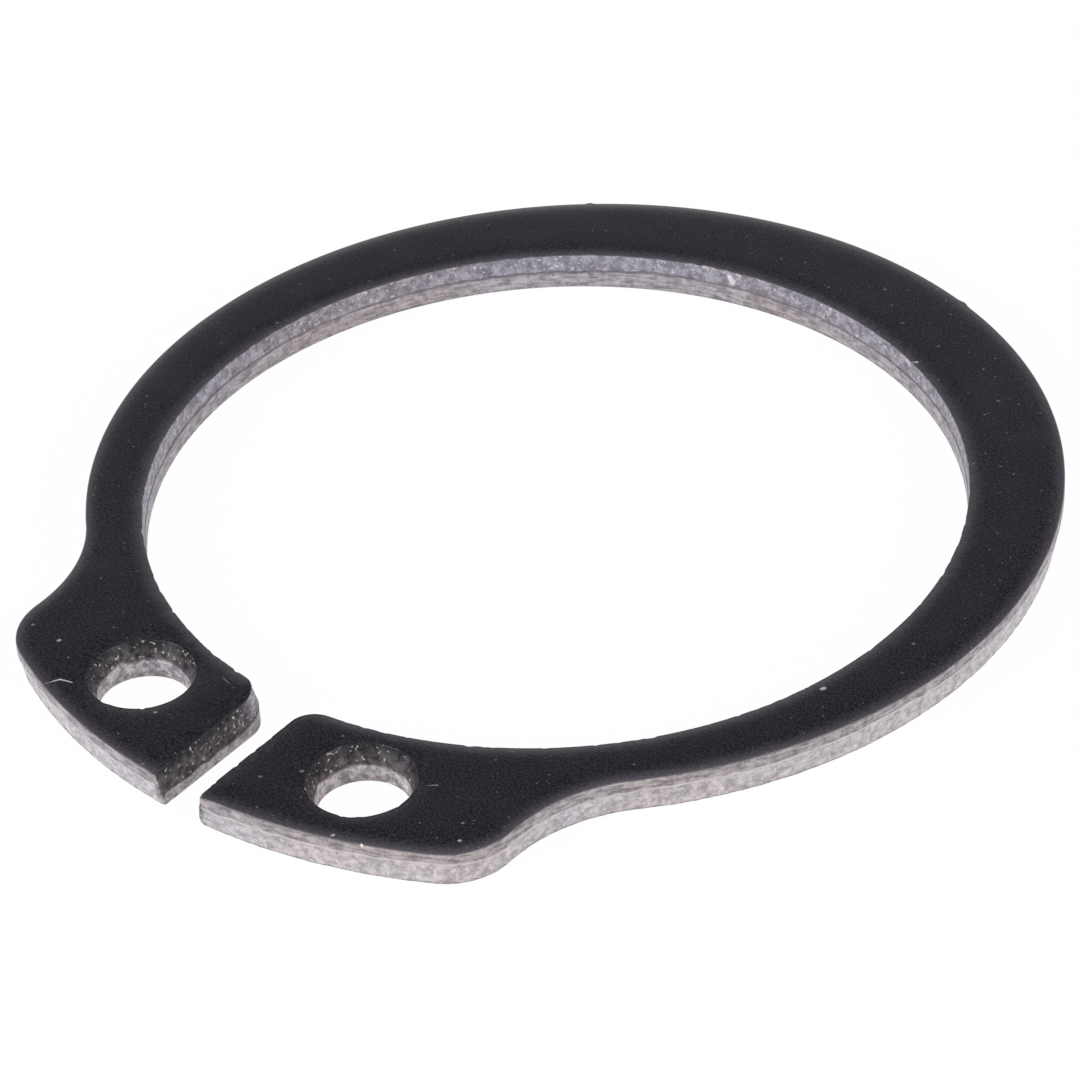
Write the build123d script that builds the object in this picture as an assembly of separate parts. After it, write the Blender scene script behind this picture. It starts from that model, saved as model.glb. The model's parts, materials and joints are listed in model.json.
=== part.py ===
"""External retaining ring for a 25 mm shaft: one flat spring-steel blank, stamped with its edges as punched.

The ring lies flat on Z = 0 with the bore's axis on Z. The gap between the lugs opens towards -Y.
The outline was blanked downwards, so its top edge is rolled over and its wall narrows at the bottom.
The bore, the gap and the lug holes were pierced upwards, so they break out wider at the top.
"""

from build123d import *
from math import atan2, cos, degrees, hypot, radians, sin, sqrt
import os

# Ring, in millimetres
bore_radius = 11.6
thickness = 1.2
widest_beam = 3.08
narrowest_beam = 1.36

# Lugs
lug_height = 4.4
lug_half_width = 8.35
lug_corner_radius = 2.0
flank_length = 0.15
hole_radius = 1.27
hole_inset = 2.02
hole_angle = 16.5

# Gap between the lugs
gap_width = 1.24
gap_mouth_radius = 0.75

# Outer wall: a rolled top edge, a smooth land and a breakout that narrows downwards
roll_width = 0.4
roll_depth = 0.06
roll_radius = 0.1
outer_land = 0.4
outer_breakout = 0.15

# Pierced walls: a rolled bottom edge, a smooth land and a breakout that widens upwards
pierced_roll = 0.05
pierced_land = 0.6
bore_breakout = 0.03
gap_breakout = 0.15
hole_breakout = 0.2

outer_radius = bore_radius + (widest_beam + narrowest_beam) / 2
outer_offset = (widest_beam - narrowest_beam) / 2
lug_radius = bore_radius + lug_height
hole_x = (bore_radius + hole_inset) * sin(radians(hole_angle))
hole_y = -(bore_radius + hole_inset) * cos(radians(hole_angle))
outer_fracture = thickness - roll_depth - outer_land
gap_reach = lug_radius + 1
near = 0.1

# Where each lug's corner arc meets its straight flank, and the root arc that ends the flank on the ring
corner_y = -sqrt((lug_radius - lug_corner_radius) ** 2 - (lug_half_width - lug_corner_radius) ** 2)
root_drop = outer_offset - (corner_y + flank_length)
root_radius = (lug_half_width**2 + root_drop**2 - outer_radius**2) / (2 * (outer_radius - lug_half_width))


def corners(sketch, x, y):
    """The sketch's vertices at (x, y) and at its mirror image (-x, y)."""
    return [v for v in sketch.vertices() if hypot(abs(v.X) - x, v.Y - y) < near]


def blank_outline():
    """The outer outline: a disc set off from the bore, and a lug pad with flanks parallel to the gap."""
    pad = Circle(lug_radius) & Pos(0, -lug_radius / 2) * Rectangle(2 * lug_half_width, lug_radius)
    tip = -sqrt(lug_radius**2 - lug_half_width**2)
    pad = fillet(corners(pad, lug_half_width, tip), lug_corner_radius)
    outline = pad + Pos(0, outer_offset) * Circle(outer_radius)
    root = outer_offset - sqrt(outer_radius**2 - lug_half_width**2)
    return fillet(corners(outline, lug_half_width, root), root_radius)


def opening_outline(radius, width):
    """The bore running out through the gap, with the lugs' inner corners rounded."""
    slot = Pos(0, -gap_reach / 2) * Rectangle(width, gap_reach)
    mouth = -sqrt(radius**2 - width**2 / 4)
    outline = Circle(radius) + slot
    return fillet(corners(outline, width / 2, mouth), gap_mouth_radius)


def on_roll(edge):
    """Whether an edge is the lower one of the rolled band."""
    return abs((edge @ 0.5).Z - (thickness - roll_depth)) < 0.001


def blank():
    """The blanked disc, with its lug pad and its rolled top edge."""
    outline = Pos(0, 0, outer_fracture) * blank_outline()
    breakout_angle = degrees(atan2(outer_breakout, outer_fracture))
    fracture = extrude(outline, amount=-outer_fracture, taper=breakout_angle)
    disc = fracture + extrude(outline, amount=thickness - outer_fracture)
    top = disc.faces().sort_by(Axis.Z)[-1]
    disc = chamfer(top.edges(), roll_width, roll_depth, reference=top)
    return fillet(disc.edges().filter_by(on_roll), roll_radius)


def opening_cutter():
    """The pierced bore and gap: a straight land below and a breakout that widens to the top."""
    outline = opening_outline(bore_radius, gap_width)
    top = opening_outline(bore_radius + bore_breakout, gap_width + 2 * gap_breakout)
    breakout = loft([Pos(0, 0, pierced_land) * outline, Pos(0, 0, thickness) * top], ruled=True)
    return extrude(outline, amount=pierced_land) + breakout


def hole_cutter():
    """A pierced lug hole, made in the same way, on the hole's own axis."""
    breakout_height = thickness - pierced_land
    land = Pos(0, 0, pierced_land / 2) * Cylinder(hole_radius, pierced_land)
    cone = Cone(hole_radius, hole_radius + hole_breakout, breakout_height)
    return land + Pos(0, 0, pierced_land + breakout_height / 2) * cone


def is_pierced(edge):
    """Whether an edge of the bottom face belongs to the bore, the gap or a lug hole."""
    middle = edge @ 0.5
    in_bore = hypot(middle.X, middle.Y) < bore_radius + gap_mouth_radius
    in_gap = abs(middle.X) < gap_width and middle.Y < 0
    in_hole = hypot(abs(middle.X) - hole_x, middle.Y - hole_y) < hole_radius + near
    return in_bore or in_gap or in_hole


def retaining_ring():
    """The blank with its opening and two lug holes pierced, and their bottom edges rolled."""
    ring = blank() - opening_cutter()
    for side in (-1, 1):
        ring -= Pos(side * hole_x, hole_y, 0) * hole_cutter()
    bottom = ring.faces().sort_by(Axis.Z)[0]
    return chamfer(bottom.edges().filter_by(is_pierced), pierced_roll)


ring = retaining_ring()
os.makedirs("parts", exist_ok=True)
export_step(ring, "parts/retaining_ring.step")
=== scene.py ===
"""Looks for the external retaining ring: one stamped spring-steel ring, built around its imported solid.

The outline of the solid is walked once, and each step of it carries a column of points from the top edge
down the stamped wall to the bottom edge. Lengths named here are millimetres and meshes are metres.
"""

import json
import math

import bpy
import numpy as np
from mathutils import Matrix, Vector
from mathutils.geometry import delaunay_2d_cdt
from mathutils.kdtree import KDTree


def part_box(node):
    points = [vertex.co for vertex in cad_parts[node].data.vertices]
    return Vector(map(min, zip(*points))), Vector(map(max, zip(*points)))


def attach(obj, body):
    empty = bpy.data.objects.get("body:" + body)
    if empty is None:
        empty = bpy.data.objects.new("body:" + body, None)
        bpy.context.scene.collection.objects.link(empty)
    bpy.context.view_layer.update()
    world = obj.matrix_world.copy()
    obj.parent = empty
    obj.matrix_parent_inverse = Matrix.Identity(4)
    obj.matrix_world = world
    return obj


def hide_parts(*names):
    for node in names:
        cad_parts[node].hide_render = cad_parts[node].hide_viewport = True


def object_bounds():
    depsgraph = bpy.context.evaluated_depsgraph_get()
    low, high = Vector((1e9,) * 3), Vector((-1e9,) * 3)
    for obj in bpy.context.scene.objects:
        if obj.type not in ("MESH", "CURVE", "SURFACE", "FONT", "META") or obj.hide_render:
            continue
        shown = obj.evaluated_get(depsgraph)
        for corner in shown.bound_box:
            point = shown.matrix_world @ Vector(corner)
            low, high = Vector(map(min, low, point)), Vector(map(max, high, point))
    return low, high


MM = 0.001

# Lugs and gap, as in the solid but for a rounder gap mouth
LUG_HALF_WIDTH = 8.35
LUG_CORNER = 2.0
FLANK = 0.15
GAP_HALF = 0.62
MOUTH_RADIUS = 0.85
TIP_RADIUS = 0.07

# Stamped walls: how far each kind breaks out and how high its ragged line runs
BREAKOUTS = {"outer": 0.15, "tip": 0.15, "gap": 0.15, "bore": 0.03, "hole": 0.2}
LINE_HEIGHTS = {"outer": 0.74, "tip": 0.3, "gap": 0.4, "bore": 0.6, "hole": 0.62}
LINE_WANDER = (0.05, 2.3)
LINE_TEETH = (0.04, 0.06, 0.4)
LINE_STEP = 0.012
LINE_REACH = 0.09
BREAK_GRAIN = (0.016, 0.2)
CHIPS = (0.06, 0.22, 0.15)
FOOT_ROLL = 0.05
CORNER_LEAN = 0.45

# Burrs on the outer edge: angle round the bore, height and half width, and how high up the wall they sit
BURRS = ((123.9, 0.09, 0.09), (72.5, 0.07, 0.16), (-61, 0.03, 0.1))
BURR_HEIGHT = 1.05
BURR_SPREAD = 0.12

# The left lug's inner corner, torn back and with its ragged line torn up
TORN_DEPTH = 0.08
TORN_RISE = 0.12
TORN_REACH = 0.5

# Softened top edges: how deep and how wide the face falls, and the small radius that ends it
OUTER_ROLL = (0.065, 0.9)
PIERCED_ROLL = (0.055, 0.9)
ROLL_POWER = 3.0
OUTER_SHOULDER = 0.06
PIERCED_SHOULDER = 0.03

# Rubbed bands along the top edges, partly real wear and partly painted sheen: how strong and how wide
OUTER_RUB_AND_SHEEN = (0.4, 0.4)
BORE_RUB_AND_SHEEN = (0.5, 0.5)

# Mesh density
PITCH = 0.075
SHOULDER_ROWS = 4
LAND_ROWS = 5
FRACTURE_ROWS = 9
FACE_RINGS = (0.04, 0.09, 0.15, 0.23, 0.34, 0.48, 0.66, 0.9)
FACE_GRID = 0.4
TIP_PITCH = 0.02
STRIDE_DEPTH = 0.12
SPACING = 0.04

# Camera, as the ring is seen from above its right lug
AZIMUTH = 40.51
ELEVATION = 36.93
ROLL = 3.63
LENS = 154.42
DISTANCE = 128.32
AIM = (1.334, -2.345)


# ---------------------------------------------------------------- noise

def lattice_noise(u, v, cell_u, cell_v, seed):
    """Smooth noise from -1 to 1 on the plane, with its own fixed lattice."""
    grid = np.random.default_rng(seed).uniform(-1, 1, (257, 257))
    gu = u / cell_u % 256
    gv = v / cell_v % 256
    iu = gu.astype(int)
    iv = gv.astype(int)
    fu = gu - iu
    fv = gv - iv
    fu = fu * fu * (3 - 2 * fu)
    fv = fv * fv * (3 - 2 * fv)
    low = grid[iu, iv] * (1 - fu) + grid[iu + 1, iv] * fu
    high = grid[iu, iv + 1] * (1 - fu) + grid[iu + 1, iv + 1] * fu
    return low * (1 - fv) + high * fv


def rough(u, v, cell, seed):
    """Three octaves of lattice noise."""
    total = lattice_noise(u, v, cell, cell, seed)
    total += 0.5 * lattice_noise(u, v, cell / 2.1, cell / 2.1, seed + 1)
    total += 0.3 * lattice_noise(u, v, cell / 4.3, cell / 4.3, seed + 2)
    return total / 1.4


# ---------------------------------------------------------------- outline

def arc(centre, radius, start, end, pitch=PITCH):
    """Points and directions from the centre along an arc, its last point left out."""
    count = max(4, math.ceil(abs(end - start) * radius / pitch))
    angles = np.linspace(start, end, count, endpoint=False)
    rays = np.stack([np.cos(angles), np.sin(angles)], 1)
    turning = 1 if end > start else -1
    return np.array(centre) + radius * rays, turning * rays


def line(start, end, pitch=PITCH):
    """Points along a straight run with the wall on its right, its last point left out."""
    start, end = np.array(start, float), np.array(end, float)
    length = np.linalg.norm(end - start)
    count = max(2, math.ceil(length / pitch))
    steps = np.linspace(0, 1, count, endpoint=False)[:, None]
    along = (end - start) / length
    return start + steps * (end - start), np.tile([along[1], -along[0]], (count, 1))


def mirrored(run):
    """The same run on the other side of the YZ plane, walked the other way."""
    points, normals = run
    flip = np.array([-1, 1])
    return (points * flip)[::-1], (normals * flip)[::-1]


class Loop:
    """A closed walk round the material: points, outward normals, lengths and the kind of each wall."""

    def __init__(self, runs):
        points = np.concatenate([run[0] for run, kind in runs])
        normals = np.concatenate([run[1] for run, kind in runs])
        kinds = np.concatenate([np.full(len(run[0]), kind, dtype=object) for run, kind in runs])
        steps = np.linalg.norm(np.roll(points, -1, 0) - points, axis=1)
        kept = steps > 1e-6
        self.points, self.normals, self.kind = points[kept], normals[kept], kinds[kept]
        self.length = np.concatenate([[0], np.cumsum(steps[kept])[:-1]])


def outline_loop(sizes):
    """The outer edge, gap walls and bore as one closed loop, walked with the material on the left."""
    outer, offset, bore, lug = sizes["outer"], sizes["offset"], sizes["bore"], sizes["lug"]
    tip_y = -math.sqrt((lug - TIP_RADIUS) ** 2 - (GAP_HALF + TIP_RADIUS) ** 2)
    tip_angle = math.atan2(tip_y, GAP_HALF + TIP_RADIUS)
    corner_x = LUG_HALF_WIDTH - LUG_CORNER
    corner_y = -math.sqrt((lug - LUG_CORNER) ** 2 - corner_x**2)
    root_y = corner_y + FLANK
    drop = offset - root_y
    root = (LUG_HALF_WIDTH**2 + drop**2 - outer**2) / (2 * (outer - LUG_HALF_WIDTH))
    root_x = LUG_HALF_WIDTH + root
    root_angle = math.atan2(-drop, root_x)
    mouth_x = GAP_HALF + MOUTH_RADIUS
    mouth_y = -math.sqrt((bore + MOUTH_RADIUS) ** 2 - mouth_x**2)
    mouth_angle = math.atan2(mouth_y, mouth_x)

    tip = arc((GAP_HALF + TIP_RADIUS, tip_y), TIP_RADIUS, -math.pi, tip_angle, TIP_PITCH)
    pad = arc((0, 0), lug, tip_angle, math.atan2(corner_y, corner_x))
    corner = arc((corner_x, corner_y), LUG_CORNER, math.atan2(corner_y, corner_x), 0)
    flank = line((LUG_HALF_WIDTH, corner_y), (LUG_HALF_WIDTH, root_y))
    root_arc = arc((root_x, root_y), root, math.pi, root_angle + math.pi)
    beam = arc((0, offset), outer, root_angle, math.pi - root_angle)
    left_wall = line((-GAP_HALF, tip_y), (-GAP_HALF, mouth_y))
    left_mouth = arc((-mouth_x, mouth_y), MOUTH_RADIUS, 0, -mouth_angle)
    bore_arc = arc((0, 0), bore, -math.pi - mouth_angle, mouth_angle - 2 * math.pi)
    right_mouth = arc((mouth_x, mouth_y), MOUTH_RADIUS, math.pi + mouth_angle, math.pi)
    right_wall = line((GAP_HALF, mouth_y), (GAP_HALF, tip_y))
    flanks = [(pad, "outer"), (corner, "outer"), (flank, "outer"), (root_arc, "outer")]
    back = [(mirrored(run), kind) for run, kind in reversed(flanks)]
    return Loop(
        [(tip, "tip"), *flanks, (beam, "outer"), *back, (mirrored(tip), "tip")]
        + [(left_wall, "gap"), (left_mouth, "mouth"), (bore_arc, "bore")]
        + [(right_mouth, "mouth"), (right_wall, "gap")]
    )


def hole_loop(centre, radius):
    """A lug hole, walked clockwise so that its normals point at its axis."""
    return Loop([(arc(centre, radius, 2 * math.pi, 0), "hole")])


# ---------------------------------------------------------------- stamped wall

def ramped(loop, values):
    """A value along the loop, known for some kinds of wall and running evenly between them."""
    known = np.array([kind in values for kind in loop.kind])
    amounts = np.array([values[kind] for kind in loop.kind[known]])
    total = loop.length[-1] + PITCH
    return np.interp(loop.length, loop.length[known], amounts, period=total)


def line_height(loop, shaded, seed):
    """The ragged line between the smooth land and the broken part of the wall."""
    zero = np.zeros_like(loop.length)
    drift, drift_cell = LINE_WANDER
    fine, extra, cell = LINE_TEETH
    wander = drift * lattice_noise(loop.length, zero, drift_cell, 1, seed)
    teeth = (fine + extra * shaded) * rough(loop.length, zero + 3.3, cell, seed + 1)
    return ramped(loop, LINE_HEIGHTS) + wander + teeth


def shoulder_rows(top_z, radius, inset):
    """The small radius that ends the top face, as insets and heights."""
    turns = np.linspace(0, math.pi / 2, SHOULDER_ROWS + 1)[:, None]
    return inset + radius * (1 - np.sin(turns)), top_z - radius * (1 - np.cos(turns))


def blanked_rows(top_z, line_z, grain):
    """Insets and heights of a wall whose land is on top and whose break narrows downwards."""
    edge_inset, edge_z = shoulder_rows(top_z, OUTER_SHOULDER, 0)
    land = np.linspace(0, 1, LAND_ROWS + 1)[1:, None]
    land_z = edge_z[-1] + land * (line_z - edge_z[-1])
    broken = np.linspace(0, 1, FRACTURE_ROWS + 1)[:, None]
    broken_z = (line_z - LINE_STEP) * (1 - broken)
    inset = LINE_STEP + (BREAKOUTS["outer"] - LINE_STEP) * broken**0.8
    inset = inset + grain * np.minimum(1, 0.4 + 3 * broken)
    edge_inset = edge_inset + 0 * top_z
    return np.concatenate([edge_inset, 0 * land_z, inset]), np.concatenate([edge_z, land_z, broken_z])


def pierced_rows(top_z, line_z, breakout, grain):
    """The same for a wall whose break is on top and widens upwards, with a rolled foot."""
    edge_inset, edge_z = shoulder_rows(top_z, PIERCED_SHOULDER, breakout)
    broken = np.linspace(0, 1, FRACTURE_ROWS + 1)[1:, None]
    broken_z = edge_z[-1] + broken * (line_z + LINE_STEP - edge_z[-1])
    inset = LINE_STEP + (breakout - LINE_STEP) * (1 - broken) ** 1.2 + grain[1:] * (1 - broken**6)
    land = np.linspace(0, 1, LAND_ROWS)[:, None]
    land_z = line_z + land * (FOOT_ROLL - line_z)
    heights = np.concatenate([edge_z, broken_z, land_z, 0 * line_z[None, :]])
    insets = np.concatenate([edge_inset, inset, 0 * land_z, FOOT_ROLL + 0 * line_z[None, :]])
    return insets, heights


class Wall:
    """A loop's columns: the start of the top edge, then the rows below it, down to the foot."""

    def __init__(self, loop, seed):
        self.loop = loop
        self.seed = seed
        self.pierced = ramped(loop, {"outer": 0, "gap": 1, "bore": 1, "hole": 1})
        self.torn = self.torn_corner()
        # Painted shade on the break and painted light on the land of the gap and lug holes, taken off at
        # the torn corner
        self.shaded = ramped(loop, {"outer": 0, "gap": 1, "bore": 0, "hole": 1})
        self.shaded = self.shaded * np.maximum(0, 1 - 1.6 * self.torn)
        chip_depth, chip_cell, unchipped = CHIPS
        chips = np.maximum(0, rough(loop.length, 0 * loop.length + 9.1, chip_cell, seed + 8) - unchipped)
        self.breakout = ramped(loop, BREAKOUTS) + TORN_DEPTH * self.torn + chip_depth * chips
        self.burr = sum(self.bump(*burr) for burr in BURRS)
        self.lean()
        self.top = self.inwards(OUTER_SHOULDER, self.breakout + PIERCED_SHOULDER)

    def bump(self, turn, height, reach):
        """A small burr pushed out of the outer edge at an angle round the bore."""
        angle = math.radians(turn)
        ray = np.array([math.cos(angle), math.sin(angle)])
        across = np.linalg.norm(self.loop.points - np.outer(self.loop.points @ ray, ray), axis=1)
        ahead = (self.loop.points @ ray > 0) & (self.loop.kind == "outer")
        return height * ahead * np.exp(-((across / reach) ** 2))

    def torn_corner(self):
        """Where the left lug's inner corner tore out, 1 at its middle."""
        length = self.loop.length
        corner = (self.loop.kind == "mouth") & (self.loop.points[:, 0] < 0)
        if not corner.any():
            return 0 * length
        return np.exp(-(((length - length[corner].mean()) / TORN_REACH) ** 2))

    def lean(self):
        """The direction and share of each inset, so that columns lean into the gap's sharp corners."""
        kind, length = self.loop.kind, self.loop.length
        away = np.full(len(length), np.inf)
        for tip in length[kind == "tip"]:
            steps = np.abs(length - tip)
            away = np.minimum(away, np.minimum(steps, length[-1] - steps))
        near = np.maximum(0, 1 - away / CORNER_LEAN)
        across = np.stack([-np.sign(self.loop.points[:, 0]), 0 * length], 1)
        outwards = np.tile([0.0, -1.0], (len(length), 1))
        blanked, corner = kind == "outer", kind == "tip"
        self.blank_share = np.where(blanked, 1, near)
        self.pierce_share = np.where(blanked, near, 1)
        self.blank_normal = np.where(blanked[:, None], self.loop.normals, outwards)
        self.pierce_normal = np.where((blanked | corner)[:, None], across, self.loop.normals)

    def inwards(self, blank_inset, pierce_inset):
        """The columns' points, set into the material."""
        blank = self.blank_normal * (self.blank_share * blank_inset)[..., None]
        pierce = self.pierce_normal * (self.pierce_share * pierce_inset)[..., None]
        return self.loop.points - blank - pierce

    def shape(self, top_z):
        """Every row's points, from the top edge down, how broken they are and how near the ragged line."""
        line_z = line_height(self.loop, self.shaded, self.seed) + TORN_RISE * self.torn
        rows = np.arange(FRACTURE_ROWS + 1)[:, None]
        along = self.loop.length + 0 * rows
        down = PITCH * rows + 0 * line_z
        depth, cell = BREAK_GRAIN
        grain = depth * rough(along, down, cell, self.seed + 5)
        blank_inset, blank_z = blanked_rows(top_z, line_z, grain)
        pierce_inset, pierce_z = pierced_rows(top_z, line_z, self.breakout, grain)
        burr = self.burr * np.exp(-((blank_z - BURR_HEIGHT) / BURR_SPREAD) ** 2)
        flat = self.inwards(np.maximum(0, blank_inset) - burr, np.maximum(0, pierce_inset))
        height = blank_z + self.pierced * (pierce_z - blank_z)
        row = np.arange(len(height))[:, None]
        on_blanked = (row > SHOULDER_ROWS + LAND_ROWS) * 1.0
        on_pierced = (row <= SHOULDER_ROWS + FRACTURE_ROWS) * 1.0
        broken = on_blanked + self.pierced * (on_pierced - on_blanked)
        off_line = np.abs(height - line_z) / LINE_REACH
        return np.concatenate([flat, height[:, :, None]], 2), broken, np.maximum(0, 1 - off_line)


# ---------------------------------------------------------------- ring mesh

MARKS = ("wall", "broken", "shaded", "pierced", "line", "along", "edge")


def tree_of(points):
    """A search tree over flat points."""
    tree = KDTree(len(points))
    for index, (x, y) in enumerate(points):
        tree.insert((x, y, 0), index)
    tree.balance()
    return tree


class Face:
    """The ring's top face, which rolls over near its edges and is lighter there, partly rubbed and partly
    painted sheen.
    """

    def __init__(self, walls, thickness):
        self.thickness = thickness
        self.rim = np.concatenate([w.top for w in walls])
        self.rim_normals = np.concatenate([w.loop.normals for w in walls])
        self.rim_tree = tree_of(self.rim)
        outline = walls[0]
        blanked = outline.pierced < 0.5
        blanked_tree = tree_of(outline.top[blanked])
        self.rolls = [
            (blanked_tree, OUTER_ROLL),
            (tree_of(outline.top[~blanked]), PIERCED_ROLL),
            (tree_of(np.concatenate([w.top for w in walls[1:]])), PIERCED_ROLL),
        ]
        bore_tree = tree_of(outline.top[outline.loop.kind == "bore"])
        self.rub_and_sheen_bands = [(blanked_tree, OUTER_RUB_AND_SHEEN), (bore_tree, BORE_RUB_AND_SHEEN)]

    def height(self, x, y):
        """The height of the rolled face."""
        fall = 0
        for tree, (depth, width) in self.rolls:
            distance = tree.find((x, y, 0))[2]
            fall += depth * max(0, 1 - distance / width) ** ROLL_POWER
        return self.thickness - fall

    def rub_and_sheen(self, x, y):
        """How far the black is lightened there by rubbing and painted sheen, strongest at the very edge.
        """
        rub_and_sheen_amount = 0
        for tree, (strength, width) in self.rub_and_sheen_bands:
            distance = tree.find((x, y, 0))[2]
            rub_and_sheen_amount = max(rub_and_sheen_amount, strength * max(0, 1 - distance / width) ** 2)
        return rub_and_sheen_amount

    def clearance(self, x, y):
        """The distance to the nearest top edge, negative outside the face."""
        _, index, distance = self.rim_tree.find((x, y, 0))
        towards = np.dot((x, y) - self.rim[index], self.rim_normals[index])
        return -distance if towards > 0 else distance

    def inner_points(self, walls):
        """Points inside the face, close together near its edges and on a grid in the middle."""
        taken = {}
        for depth in FACE_RINGS:
            stride = max(1, round(depth / STRIDE_DEPTH))
            for wall in walls:
                ring = (wall.top - wall.loop.normals * depth)[::stride]
                for x, y in ring:
                    if self.clearance(x, y) > 0.93 * depth:
                        taken.setdefault((round(x / SPACING), round(y / SPACING)), (x, y))
        low, high = self.rim.min(0), self.rim.max(0)
        for x in np.arange(low[0], high[0], FACE_GRID):
            for y in np.arange(low[1], high[1], FACE_GRID):
                if self.clearance(x, y) > FACE_RINGS[-1] + FACE_GRID / 3:
                    taken.setdefault((round(x / SPACING), round(y / SPACING)), (x, y))
        return np.array(list(taken.values()))


def enclosed(places, loops):
    """Which places lie between the loops, by how often a ray from each crosses them."""
    starts = np.concatenate(loops)
    ends = np.concatenate([np.roll(loop, -1, 0) for loop in loops])
    rises = np.where(ends[:, 1] == starts[:, 1], 1, ends[:, 1] - starts[:, 1])
    slopes = (ends[:, 0] - starts[:, 0]) / rises
    inside = []
    for x, y in places:
        spans = (starts[:, 1] > y) != (ends[:, 1] > y)
        crossings = starts[spans, 0] + slopes[spans] * (y - starts[spans, 1])
        inside.append(np.count_nonzero(x < crossings) % 2 == 1)
    return inside


def fill(loops, inner):
    """Triangles between closed loops, as indices into the loops' points and then the inner ones."""
    points = np.concatenate([*loops, inner])
    edges = []
    start = 0
    for loop in loops:
        count = len(loop)
        edges += [(start + i, start + (i + 1) % count) for i in range(count)]
        start += count
    result = delaunay_2d_cdt([Vector(p) for p in points], edges, [], 0, 1e-7, True)
    source = [ids[0] for ids in result[3]]
    triangles = np.array([[source[v] for v in face] for face in result[2]])
    return triangles[enclosed(points[triangles].mean(1), loops)].tolist()


def wall_quads(index):
    """The faces between a wall's neighbouring rows and columns of points."""
    following = np.roll(index, -1, 1)
    quads = np.stack([index[:-1], index[1:], following[1:], following[:-1]], -1)
    return [tuple(quad) for quad in quads.reshape(-1, 4).tolist()]


def wall_marks(wall, face, broken, line):
    """The values that the material reads at every point of a wall."""
    rows, count = broken.shape
    fade = np.clip(2.5 * np.arange(rows) / SHOULDER_ROWS - 1.5, 0, 1)
    return {
        "wall": np.repeat(fade, count),
        "broken": broken.ravel(),
        "shaded": np.tile(wall.shaded, rows),
        "pierced": np.tile(wall.pierced, rows),
        "line": line.ravel(),
        "along": np.tile(wall.loop.length * MM, rows),
        "edge": np.tile([face.rub_and_sheen(x, y) for x, y in wall.top], rows),
    }


def ring_mesh(walls, face):
    """The whole ring as one closed mesh, with the values that its material reads."""
    points, faces, marks, tops, bottoms = [], [], [], [], []
    start = 0
    for wall in walls:
        top_z = np.array([face.height(x, y) for x, y in wall.top])
        grid, broken, line = wall.shape(top_z)
        index = start + np.arange(broken.size).reshape(broken.shape)
        points.append(grid.reshape(-1, 3))
        marks.append(wall_marks(wall, face, broken, line))
        faces += wall_quads(index)
        tops.append(index[0])
        bottoms.append(index[-1])
        start += broken.size
    flat = np.concatenate(points)
    inner = face.inner_points(walls)
    raised = [(x, y, face.height(x, y)) for x, y in inner]
    face_marks = {name: np.zeros(len(inner)) for name in MARKS}
    face_marks["edge"] = np.array([face.rub_and_sheen(x, y) for x, y in inner])
    marks.append(face_marks)

    lookup = np.concatenate([*tops, start + np.arange(len(inner))])
    top_faces = fill([flat[top][:, :2] for top in tops], inner)
    faces += [tuple(int(lookup[v]) for v in corners) for corners in top_faces]
    smooth = [True] * len(faces)
    lookup = np.concatenate(bottoms)
    bottom_faces = fill([flat[bottom][:, :2] for bottom in bottoms], np.empty((0, 2)))
    faces += [tuple(int(lookup[v]) for v in reversed(corners)) for corners in bottom_faces]
    smooth += [False] * len(bottom_faces)

    mesh = bpy.data.meshes.new("ring")
    mesh.from_pydata([tuple(p) for p in np.concatenate([flat, raised]) * MM], [], faces)
    mesh.polygons.foreach_set("use_smooth", smooth)
    for name in MARKS:
        values = np.concatenate([part[name] for part in marks]).astype(np.float32)
        mesh.attributes.new(name, "FLOAT", "POINT").data.foreach_set("value", values)
    mesh.update()
    return mesh


# ---------------------------------------------------------------- materials

# Noise scales, in features per metre
SCALES = {
    "grain": 15000,
    "cloud": 700,
    "dust": 5200,
    "specks": 11000,
    "layers": 9000,
    "fine": 13000,
    "mottle": 4200,
    "glints": 10000,
    "warmth": 160,
}
LAYER_STRETCH = 0.2

# Colours in a picture's 0 to 255 numbers, most as the darker and the lighter of a mottled pair
BLACK = ((0, 0, 1), (43, 38, 50))
CLOUD = (44, 39, 44)
# Lighter black along the edges: partly rubbed, partly painted sheen
RUBBED_AND_SHEEN = ((78, 75, 82), (108, 104, 112))
DUST = (128, 120, 124)
OUTER_LAND = ((106, 102, 108), (172, 166, 170))
BORE_LAND = ((112, 107, 113), (172, 166, 172))
# Land of the gap and lug holes: painted light, lighter than the bore's land
PAINTED_LIGHT_OPENING_LAND = ((134, 128, 134), (206, 199, 203))
OUTER_BREAK = ((146, 142, 148), (200, 195, 199))
BORE_BREAK = ((104, 101, 111), (156, 153, 165))
# Break of the gap and lug holes: painted shade, darkest at the top and lighter at the foot
PAINTED_SHADE_BREAK_TOP = ((12, 11, 14), (56, 53, 58))
PAINTED_SHADE_BREAK_FOOT = ((36, 33, 38), (108, 103, 108))
BREAK_GLINT = (222, 215, 214)
LAND_GLINT = (236, 230, 230)
# Along the ragged line: painted highlight on the outer walls' lip, painted shade in the pierced walls'
# groove
OUTER_LIP_HIGHLIGHT = (214, 210, 214)
PIERCED_GROOVE_SHADE = (74, 68, 74)
SCRATCH = (232, 226, 228)
WARM = (1.0, 0.96, 0.92, 1)

# Heights in millimetres between which the painted shade on a narrow opening's break lightens, and where
# the foot turns black
BREAK_SHADE = (1.1, 0.6)
FOOT_BLACK = (0.004, 0.02)

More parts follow.
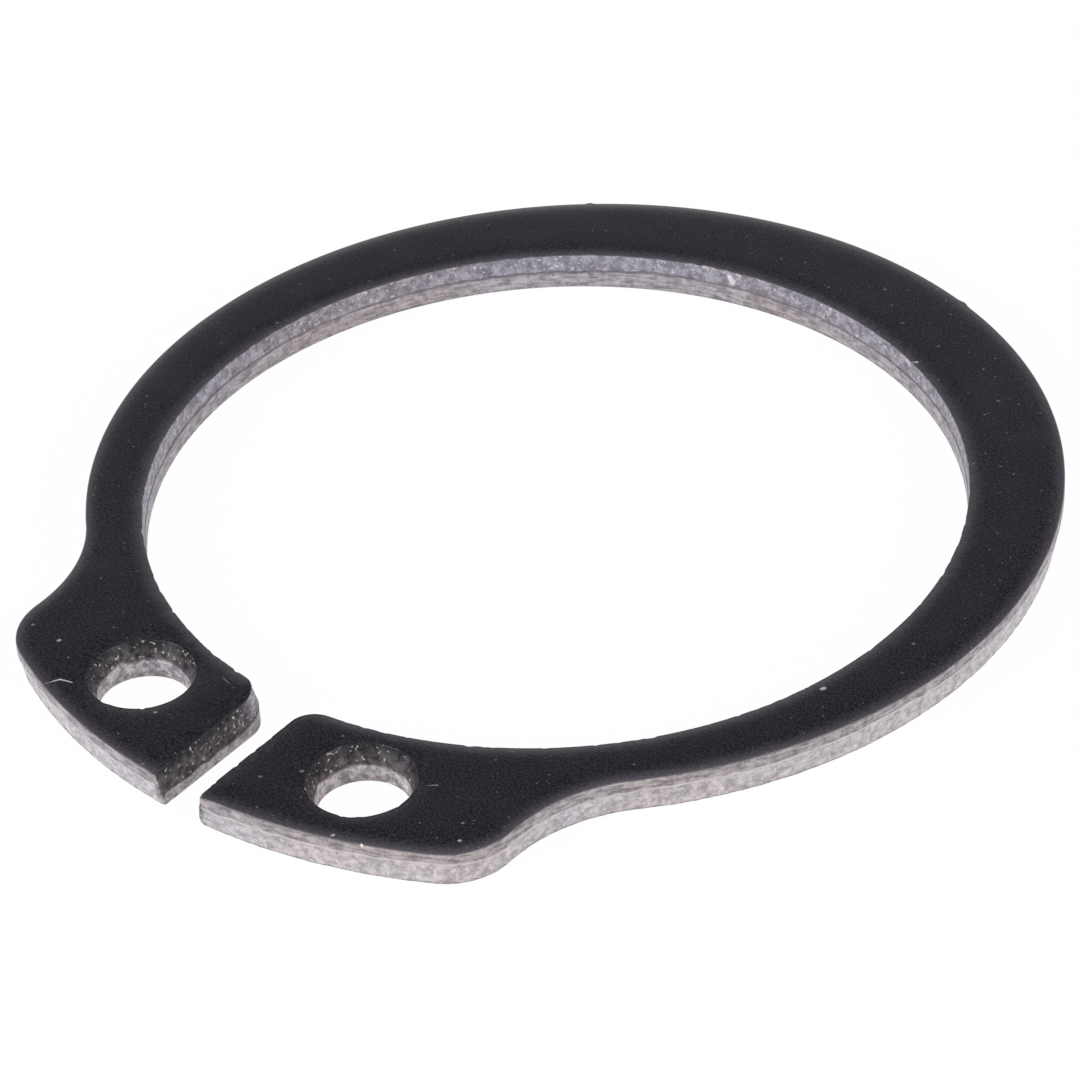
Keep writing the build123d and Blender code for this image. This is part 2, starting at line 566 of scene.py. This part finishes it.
# Scratches, flecks and nicks on the face and walls: two ends in millimetres, half width and strength
SCRATCHES = (
    ((-5.97, -15.1, 1.13), (-5.7, -14.82, 1.18), 0.045, 0.5),
    ((-5.7, -14.82, 1.18), (-5.48, -14.54, 1.195), 0.035, 0.6),
    ((-5.48, -14.54, 1.195), (-5.13, -14.45, 1.2), 0.035, 0.55),
    ((-7.75, -13.22, 1.2), (-7.74, -13.2, 1.2), 0.06, 0.2),
    ((-6.67, -13.33, 1.2), (-6.66, -13.3, 1.2), 0.07, 0.35),
    ((-2.43, -14.12, 1.2), (-2.41, -14.1, 1.2), 0.06, 0.3),
    ((-1.87, -11.99, 1.19), (-1.6, -12.06, 1.19), 0.03, 0.12),
    ((4.67, -15.22, 1.19), (4.71, -15.17, 1.19), 0.07, 0.8),
    ((5.0, -15.1, 1.2), (5.04, -14.94, 1.2), 0.03, 0.5),
    ((5.5, -15.02, 1.2), (5.56, -15.06, 1.0), 0.06, 0.95),
    ((2.37, -13.72, 1.2), (2.4, -13.68, 1.2), 0.07, 0.25),
    ((5.27, -12.43, 1.2), (5.69, -12.13, 1.2), 0.025, 0.3),
    ((7.18, -12.95, 1.2), (7.19, -12.93, 1.2), 0.05, 0.2),
    ((7.53, -13.52, 1.2), (7.55, -13.5, 1.2), 0.06, 0.4),
    ((3.62, -11.82, 0.05), (4.4, -11.9, 0.31), 0.07, 0.85),
    ((4.87, 10.55, 1.2), (5.02, 10.62, 1.2), 0.07, 0.9),
    ((4.6, 10.64, 1.05), (4.75, 10.57, 1.0), 0.08, 0.6),
    ((-2.3, 11.37, 0.95), (-2.2, 11.39, 0.8), 0.14, 0.55),
    ((-3.1, 11.18, 1.12), (-3.0, 11.2, 1.1), 0.1, 0.45),
    ((11.55, -3.22, 1.2), (11.57, -3.18, 1.2), 0.09, 0.5),
)
MARK_CORE = 0.35


class Graph:
    """A material's nodes, added and linked in short calls."""

    def __init__(self, name):
        self.material = bpy.data.materials.new(name)
        self.material.use_nodes = True
        self.nodes = self.material.node_tree.nodes
        self.links = self.material.node_tree.links
        self.shader = self.nodes["Principled BSDF"]

    def add(self, kind, inputs=None, **settings):
        """A node with settings, and inputs that are values or other nodes' outputs."""
        node = self.nodes.new(kind)
        for key, value in settings.items():
            setattr(node, key, value)
        for key, value in (inputs or {}).items():
            if isinstance(value, bpy.types.NodeSocket):
                self.links.new(value, node.inputs[key])
            else:
                node.inputs[key].default_value = value
        return node

    def math(self, operation, *values, clamp=False):
        """A Math node's result."""
        inputs = dict(enumerate(values))
        return self.add("ShaderNodeMath", inputs, operation=operation, use_clamp=clamp).outputs[0]

    def vector(self, operation, output, inputs):
        """A Vector Math node's result."""
        return self.add("ShaderNodeVectorMath", inputs, operation=operation).outputs[output]

    def mix(self, factor, first, second):
        """One colour mixed into another."""
        node = self.add("ShaderNodeMix", {0: factor, 6: first, 7: second}, data_type="RGBA")
        return node.outputs[2]

    def mix_value(self, first, second):
        """The mean of two values."""
        return self.math("MULTIPLY", self.math("ADD", first, second), 0.5)

    def noise(self, vector, scale, detail=3.0, roughness=0.6):
        """A noise texture's value."""
        inputs = {"Vector": vector, "Scale": scale, "Detail": detail, "Roughness": roughness}
        return self.add("ShaderNodeTexNoise", inputs).outputs[0]

    def ramp(self, value, low, high):
        """0 below low, 1 above high, smooth between."""
        inputs = {"Value": value, "From Min": low, "From Max": high}
        return self.add("ShaderNodeMapRange", inputs, interpolation_type="SMOOTHSTEP").outputs[0]

    def streak(self, place, start, end, width):
        """1 along a fine straight mark between two points in millimetres, fading at its sides."""
        start = Vector(start) * MM
        run = Vector(end) * MM - start
        ahead = self.vector("SUBTRACT", "Vector", {0: place, 1: start})
        dot = self.vector("DOT_PRODUCT", "Value", {0: ahead, 1: run})
        share = self.math("DIVIDE", dot, run.length_squared, clamp=True)
        reach = self.vector("SCALE", "Vector", {0: run, "Scale": share})
        gap = self.vector("DISTANCE", "Value", {0: ahead, 1: reach})
        return self.ramp(gap, width * MM, MARK_CORE * width * MM)

    def attribute(self, name):
        """A value stored on the mesh."""
        return self.add("ShaderNodeAttribute", attribute_name=name).outputs["Fac"]


def grey(red, green, blue):
    """A colour given in the 0 to 255 numbers of a picture."""
    shares = [value / 255 for value in (red, green, blue)]
    return (*[((v + 0.055) / 1.055) ** 2.4 if v > 0.04045 else v / 12.92 for v in shares], 1)


def marked(g, place, colour):
    """The colour with the ring's few bright scratches, flecks and nicks on it."""
    for start, end, width, strength in SCRATCHES:
        mark = g.math("MULTIPLY", g.streak(place, start, end, width), strength)
        colour = g.mix(mark, colour, grey(*SCRATCH))
    return colour


def blackened(g, place, grain):
    """The face's colour: grained black, clouded, lighter along its edges from rubbing and painted sheen,
    and lightly dusted.
    """
    black = g.mix(g.ramp(grain, 0.32, 0.68), *[grey(*tone) for tone in BLACK])
    cloud = g.ramp(g.noise(place, SCALES["cloud"], 4), 0.45, 0.75)
    black = g.mix(g.math("MULTIPLY", cloud, 0.35), black, grey(*CLOUD))
    # Lighter band along the outer and bore edges: partly rubbed black, partly painted sheen
    black = g.mix(g.attribute("edge"), black, g.mix(grain, *[grey(*tone) for tone in RUBBED_AND_SHEEN]))
    dust = g.ramp(g.noise(place, SCALES["dust"], 1), 0.73, 0.79)
    specks = g.ramp(g.noise(place, SCALES["specks"], 1), 0.74, 0.79)
    fallen = g.math("ADD", g.math("MULTIPLY", dust, 0.55), g.math("MULTIPLY", specks, 0.4), clamp=True)
    return g.mix(fallen, black, grey(*DUST))


def land_tones(g, pierced, shaded):
    """The darker and lighter colour of the smooth land, by kind of wall, with painted light on the land of
    the gap and lug holes.
    """
    tones = []
    for outer, bore, narrow in zip(OUTER_LAND, BORE_LAND, PAINTED_LIGHT_OPENING_LAND):
        wide = g.mix(pierced, grey(*outer), grey(*bore))
        tones.append(g.mix(shaded, wide, grey(*narrow)))
    return tones


def break_tones(g, pierced, shaded, height):
    """The same for the torn break, which carries painted shade in a narrow opening, darkest high up."""
    top, foot = BREAK_SHADE
    low = g.ramp(height, top * MM, foot * MM)
    tones = []
    # In the narrow openings the break gets painted shade
    for outer, bore, dark, light in zip(OUTER_BREAK, BORE_BREAK, PAINTED_SHADE_BREAK_TOP, PAINTED_SHADE_BREAK_FOOT):
        wide = g.mix(pierced, grey(*outer), grey(*bore))
        tones.append(g.mix(shaded, wide, g.mix(low, grey(*dark), grey(*light))))
    return tones


def stamped_side(g, place, height, detail, broken):
    """The walls' colour: streaked land, torn break and the line between them, painted as a highlight on
    the outer walls and as shade on the pierced ones.
    """
    pierced, shaded = g.attribute("pierced"), g.attribute("shaded")
    along = g.math("MULTIPLY", g.attribute("along"), LAYER_STRETCH)
    strip = g.add("ShaderNodeCombineXYZ", {0: along, 2: height}).outputs[0]
    layers = g.noise(strip, SCALES["layers"], 3, 0.65)
    glints = g.math("MULTIPLY", g.ramp(g.noise(place, SCALES["glints"], 0), 0.66, 0.8), 0.5)

    tones = land_tones(g, pierced, shaded)
    streaked = g.mix(g.ramp(g.mix_value(layers, detail), 0.38, 0.62), *tones)
    spotted = g.mix(glints, g.mix(g.ramp(detail, 0.4, 0.62), *tones), grey(*LAND_GLINT))
    land = g.mix(shaded, streaked, spotted)
    torn = g.mix(g.ramp(detail, 0.36, 0.66), *break_tones(g, pierced, shaded, height))
    torn = g.mix(glints, torn, grey(*BREAK_GLINT))
    side = g.mix(broken, land, torn)

    # Painted highlight along the outer walls' lip and painted shade in the pierced walls' groove
    lip_highlight_and_groove_shade = g.math("MULTIPLY", g.ramp(g.attribute("line"), 0.35, 0.9), 0.65)
    side = g.mix(lip_highlight_and_groove_shade, side, g.mix(pierced, grey(*OUTER_LIP_HIGHLIGHT), grey(*PIERCED_GROOVE_SHADE)))
    warmth = g.ramp(g.noise(place, SCALES["warmth"], 2), 0.4, 0.6)
    settings = {"data_type": "RGBA", "blend_type": "MULTIPLY"}
    return g.add("ShaderNodeMix", {0: warmth, 6: side, 7: WARM}, **settings).outputs[2]


def spring_steel():
    """Blackened matt face, burnished lands and torn breaks, told apart by the values on the mesh."""
    g = Graph("spring_steel")
    place = g.add("ShaderNodeTexCoord").outputs["Object"]
    height = g.add("ShaderNodeSeparateXYZ", {0: place}).outputs["Z"]
    above_foot = g.ramp(height, FOOT_BLACK[0] * MM, FOOT_BLACK[1] * MM)
    wall = g.math("MULTIPLY", g.attribute("wall"), above_foot)
    broken = g.attribute("broken")
    grain = g.noise(place, SCALES["grain"], 1, 0.9)
    fine = g.noise(place, SCALES["fine"], 3, 0.7)
    mottle = g.noise(place, SCALES["mottle"], 3, 0.6)
    detail = g.math("ADD", g.math("MULTIPLY", fine, 0.35), g.math("MULTIPLY", mottle, 0.65))

    side = stamped_side(g, place, height, detail, broken)
    colour = marked(g, place, g.mix(wall, blackened(g, place, grain), side))
    relief = g.math("ADD", g.math("MULTIPLY", grain, 0.3), g.math("MULTIPLY", detail, broken))
    bump = g.add("ShaderNodeBump", {"Height": relief, "Strength": 0.5, "Distance": 0.03 * MM})
    gloss = g.add("ShaderNodeMapRange", {"Value": wall, "To Min": 0.32, "To Max": 0.5}).outputs[0]
    g.shader.inputs["Specular IOR Level"].default_value = 0.4
    g.links.new(colour, g.shader.inputs["Base Color"])
    g.links.new(g.math("MULTIPLY", wall, 0.35), g.shader.inputs["Metallic"])
    g.links.new(gloss, g.shader.inputs["Roughness"])
    g.links.new(bump.outputs[0], g.shader.inputs["Normal"])
    return g.material


# ---------------------------------------------------------------- studio

FLOOR_SIZE = 4
FLOOR_GLOW = 0.975
FLOOR_DROP = 0.01

# The backdrop's brightness by how steeply a ray climbs: white round the table, dim above and lit overhead
SKY = ((0, 1.0), (0.22, 1.0), (0.44, 0.45), (0.56, 0.05), (0.76, 0.05), (0.9, 0.7), (1, 0.95))

# Name, place in metres and power in watts
LAMPS = (
    ("left_lamp", (-0.3, -0.65, 0.36), 5.5),
    ("right_lamp", (0.72, 0.02, 0.34), 4),
)
LAMP_SIZE = 0.45


def seen_or_mirrored(nodes, links):
    """1 for camera, glossy and transmission rays, which all see the plain white backdrop."""
    path = nodes.new("ShaderNodeLightPath")
    either = nodes.new("ShaderNodeMath")
    either.operation = "MAXIMUM"
    links.new(path.outputs["Is Camera Ray"], either.inputs[0])
    links.new(path.outputs["Is Glossy Ray"], either.inputs[1])
    both = nodes.new("ShaderNodeMath")
    both.operation = "MAXIMUM"
    links.new(either.outputs[0], both.inputs[0])
    links.new(path.outputs["Is Transmission Ray"], both.inputs[1])
    return both.outputs[0]


def table_paper(nodes):
    """The table's white matt paper."""
    paper = nodes["Principled BSDF"]
    paper.inputs["Base Color"].default_value = (0.9, 0.9, 0.9, 1)
    paper.inputs["Roughness"].default_value = 0.9
    paper.inputs["Specular IOR Level"].default_value = 0.1
    return paper


def table_material():
    """White to the camera but for a faint shadow, and see-through from below."""
    material = bpy.data.materials.new("white_table")
    material.use_nodes = True
    nodes, links = material.node_tree.nodes, material.node_tree.links
    glow = nodes.new("ShaderNodeEmission")
    glow.inputs["Color"].default_value = (1, 1, 1, 1)
    keep = nodes.new("ShaderNodeMath")
    keep.operation = "MULTIPLY"
    keep.inputs[1].default_value = FLOOR_GLOW
    links.new(seen_or_mirrored(nodes, links), keep.inputs[0])
    blend = nodes.new("ShaderNodeMixShader")
    links.new(keep.outputs[0], blend.inputs[0])
    links.new(table_paper(nodes).outputs[0], blend.inputs[1])
    links.new(glow.outputs[0], blend.inputs[2])
    one_sided = nodes.new("ShaderNodeMixShader")
    links.new(nodes.new("ShaderNodeNewGeometry").outputs["Backfacing"], one_sided.inputs[0])
    links.new(blend.outputs[0], one_sided.inputs[1])
    links.new(nodes.new("ShaderNodeBsdfTransparent").outputs[0], one_sided.inputs[2])
    links.new(one_sided.outputs[0], nodes["Material Output"].inputs["Surface"])
    return material


def white_floor(level):
    """A large white table just under the ring."""
    bpy.ops.mesh.primitive_plane_add(size=FLOOR_SIZE, location=(0, 0, level))
    floor = bpy.context.object
    floor.name = "floor"
    floor.data.materials.append(table_material())


def studio_world():
    """A white backdrop round the table, dim above it and lit again overhead."""
    world = bpy.data.worlds.new("studio")
    bpy.context.scene.world = world
    world.use_nodes = True
    nodes, links = world.node_tree.nodes, world.node_tree.links
    direction = nodes.new("ShaderNodeTexCoord")
    split = nodes.new("ShaderNodeSeparateXYZ")
    ramp = nodes.new("ShaderNodeValToRGB")
    steps = ramp.color_ramp
    steps.interpolation = "EASE"
    steps.elements[0].position = SKY[0][0]
    steps.elements[1].position = SKY[-1][0]
    for position, _ in SKY[1:-1]:
        steps.elements.new(position)
    for element, (_, level) in zip(steps.elements, SKY):
        element.color = (level, level, level, 1)
    links.new(direction.outputs["Generated"], split.inputs[0])
    links.new(split.outputs["Z"], ramp.inputs[0])
    path = nodes.new("ShaderNodeLightPath")
    seen = nodes.new("ShaderNodeMix")
    seen.data_type = "RGBA"
    links.new(path.outputs["Is Camera Ray"], seen.inputs[0])
    links.new(ramp.outputs[0], seen.inputs[6])
    seen.inputs[7].default_value = (1, 1, 1, 1)
    links.new(seen.outputs[2], nodes["Background"].inputs["Color"])


def soft_lamp(name, place, power):
    """A square soft lamp aimed at the ring."""
    lamp = bpy.data.lights.new(name, "AREA")
    lamp.shape = "SQUARE"
    lamp.size = LAMP_SIZE
    lamp.energy = power
    holder = bpy.data.objects.new(name, lamp)
    holder.location = place
    holder.rotation_euler = (-Vector(place)).to_track_quat("-Z", "Y").to_euler()
    bpy.context.collection.objects.link(holder)


def camera(face_height):
    """The camera, set by its two angles, its roll and its distance from a point on the face."""
    turn, lift, roll = math.radians(AZIMUTH), math.radians(ELEVATION), math.radians(ROLL)
    back = Vector((math.sin(turn) * math.cos(lift), -math.cos(turn) * math.cos(lift), math.sin(lift)))
    right = Vector((math.cos(turn), math.sin(turn), 0))
    up = back.cross(right)
    level = Matrix((right, up, back)).transposed()
    data = bpy.data.cameras.new("camera")
    data.sensor_width = 36
    data.lens = LENS
    data.clip_start, data.clip_end = 0.001, 10
    seat = bpy.data.objects.new("camera", data)
    aim = Vector((AIM[0], AIM[1], face_height))
    shift = Matrix.Translation((aim + back * DISTANCE) * MM)
    seat.matrix_world = shift @ level.to_4x4() @ Matrix.Rotation(-roll, 4, "Z")
    bpy.context.collection.objects.link(seat)
    bpy.context.scene.camera = seat


# ---------------------------------------------------------------- the ring

OUTLINE_SEED = 11
HOLE_SEEDS = {"left": 31, "right": 51}


def mount(record, name):
    """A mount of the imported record, by name."""
    return next(m for m in record["mounts"] if m["name"] == name)


def sizes_of(record):
    """The ring's main sizes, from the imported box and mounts."""
    low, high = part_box("retaining_ring")
    outer = high[0] / MM
    return {
        "outer": outer,
        "offset": high[1] / MM - outer,
        "bore": mount(record, "bore")["dims"]["r_mm"],
        "lug": math.hypot(low[1] / MM, GAP_HALF + TIP_RADIUS),
        "thickness": high[2] / MM,
    }


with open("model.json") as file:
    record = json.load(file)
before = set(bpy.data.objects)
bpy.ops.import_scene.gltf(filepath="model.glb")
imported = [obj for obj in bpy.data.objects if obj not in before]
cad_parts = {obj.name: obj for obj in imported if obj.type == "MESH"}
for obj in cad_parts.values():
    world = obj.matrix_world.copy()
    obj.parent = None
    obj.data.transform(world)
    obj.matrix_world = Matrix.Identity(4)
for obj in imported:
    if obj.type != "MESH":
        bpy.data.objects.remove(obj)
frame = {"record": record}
cad_low, cad_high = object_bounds()
sizes = sizes_of(frame["record"])
walls = [Wall(outline_loop(sizes), OUTLINE_SEED)]
for side, seed in HOLE_SEEDS.items():
    hole = mount(frame["record"], side + "_lug_hole")
    centre = (hole["pos_m"][0] / MM, hole["pos_m"][1] / MM)
    walls.append(Wall(hole_loop(centre, hole["dims"]["r_mm"]), seed))
ring = bpy.data.objects.new("stamped_ring", ring_mesh(walls, Face(walls, sizes["thickness"])))
bpy.context.collection.objects.link(ring)
ring.data.materials.append(spring_steel())
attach(ring, "root")
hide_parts("retaining_ring")

bpy.context.scene.view_settings.view_transform = "Standard"
white_floor(cad_low[2] - FLOOR_DROP * MM)
studio_world()
for name, place, power in LAMPS:
    soft_lamp(name, place, power)
camera(sizes["thickness"])
